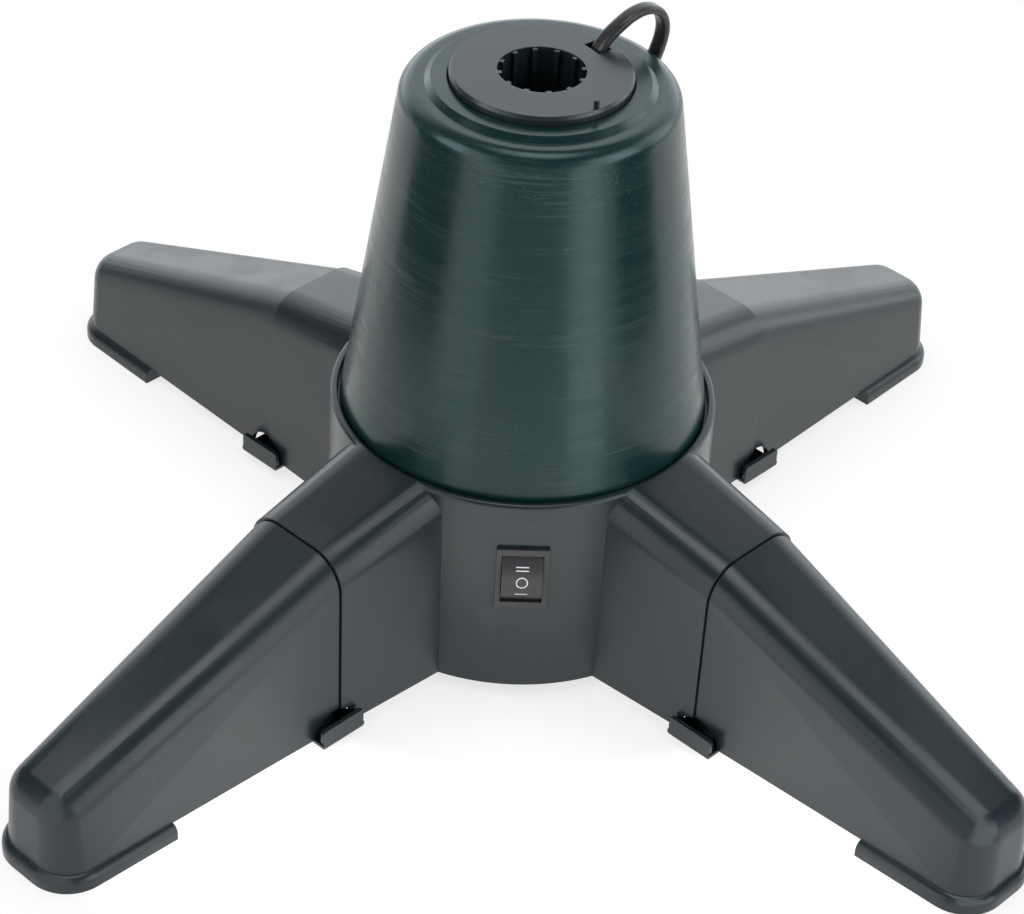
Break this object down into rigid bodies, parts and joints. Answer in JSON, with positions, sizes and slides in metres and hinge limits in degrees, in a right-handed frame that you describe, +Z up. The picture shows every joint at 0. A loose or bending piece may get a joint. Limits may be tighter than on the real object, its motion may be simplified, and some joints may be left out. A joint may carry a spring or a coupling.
{
  "type": "rotating tree stand",
  "caption": "Motor-driven rotating stand for a small artificial tree, with a conical cover, a ribbed trunk socket, a rocker switch and plug-in legs.",
  "frame": {"origin": "on the floor under the turntable's axis", "axes": "+Z up along the turntable's axis, -Y towards the switch, the legs at 45 degrees between X and Y"},
  "size_m": [0.434, 0.434, 0.2879],
  "materials": {
    "leg_plastic": "satin moulded",
    "cover_plastic": "satin moulded",
    "disc_plastic": "satin moulded",
    "black_plastic": "matt",
    "switch_plastic": "satin",
    "cord_jacket": "satin",
    "zinc_steel": "zinc plated",
    "motor_steel": "drawn",
    "bearing_steel": "ground",
    "nylon": "satin",
    "brass": "drawn",
    "carbon": "matt"
  },
  "bodies": {
    "base": {"base_hub": "leg_plastic", "base_plate": "leg_plastic", "base_plate_screws": "zinc_steel", "drum_cover": "cover_plastic", "cover_screws": "zinc_steel", "chassis_plate": "zinc_steel", "chassis_screws": "zinc_steel", "drive_motor": "motor_steel", "motor_screws": "zinc_steel", "idler_pin": "zinc_steel", "upper_bushing": "nylon", "thrust_race_lower": "bearing_steel", "brush_holder": "black_plastic", "contact_brushes": "carbon", "switch_body": "switch_plastic", "switch_terminals": "brass", "mains_gland": "black_plastic"},
    "turning_head": {"turntable": "disc_plastic", "spindle_tube": "disc_plastic", "spindle_screws": "zinc_steel", "index_pin": "disc_plastic", "driven_gear": "nylon", "slip_ring_core": "nylon", "slip_rings": "brass", "thrust_race_upper": "bearing_steel", "cord_clamp": "black_plastic", "output_cord": "cord_jacket", "output_socket": "cord_jacket"},
    "bearing_cage": {"bearing_balls": "bearing_steel", "ball_cage": "brass"},
    "idler": {"idler_gear": "nylon"},
    "pinion": {"motor_pinion": "nylon", "motor_shaft": "zinc_steel"},
    "rocker": {"switch_rocker": "switch_plastic"},
    "leg_fr": {"leg_front_right": "leg_plastic", "clip_front_right": "leg_plastic"},
    "leg_rr": {"leg_rear_right": "leg_plastic", "clip_rear_right": "leg_plastic"},
    "leg_rl": {"leg_rear_left": "leg_plastic", "clip_rear_left": "leg_plastic"},
    "leg_fl": {"leg_front_left": "leg_plastic", "clip_front_left": "leg_plastic"}
  },
  "joints": [
    {"name": "turntable_spin", "type": "hinge", "parent": "base", "child": "turning_head", "pos_m": [0, 0, 0.15], "axis": [0, 0, 1], "continuous": true},
    {"name": "cage_spin", "type": "hinge", "parent": "base", "child": "bearing_cage", "pos_m": [0, 0, 0.0354], "axis": [0, 0, 1], "continuous": true},
    {"name": "idler_spin", "type": "hinge", "parent": "base", "child": "idler", "pos_m": [0.027, 0.04677, 0.054], "axis": [0, 0, 1], "continuous": true},
    {"name": "pinion_spin", "type": "hinge", "parent": "base", "child": "pinion", "pos_m": [-0.00845, 0.05302, 0.06], "axis": [0, 0, 1], "continuous": true},
    {"name": "rocker_tip", "type": "hinge", "parent": "base", "child": "rocker", "pos_m": [0, -0.082, 0.068], "axis": [1, 0, 0], "range_deg": [-8, 8]},
    {"name": "leg_front_right_pull", "type": "slide", "parent": "base", "child": "leg_fr", "axis": [0.7071, -0.7071, 0], "range_m": [0, 0.045]},
    {"name": "leg_rear_right_pull", "type": "slide", "parent": "base", "child": "leg_rr", "axis": [0.7071, 0.7071, 0], "range_m": [0, 0.045]},
    {"name": "leg_rear_left_pull", "type": "slide", "parent": "base", "child": "leg_rl", "axis": [-0.7071, 0.7071, 0], "range_m": [0, 0.045]},
    {"name": "leg_front_left_pull", "type": "slide", "parent": "base", "child": "leg_fl", "axis": [-0.7071, -0.7071, 0], "range_m": [0, 0.045]}
  ],
  "couplings": [
    {"joint": "cage_spin", "follows": "turntable_spin", "ratio": 0.5},
    {"joint": "idler_spin", "follows": "turntable_spin", "ratio": -3.5},
    {"joint": "pinion_spin", "follows": "turntable_spin", "ratio": 7}
  ]
}
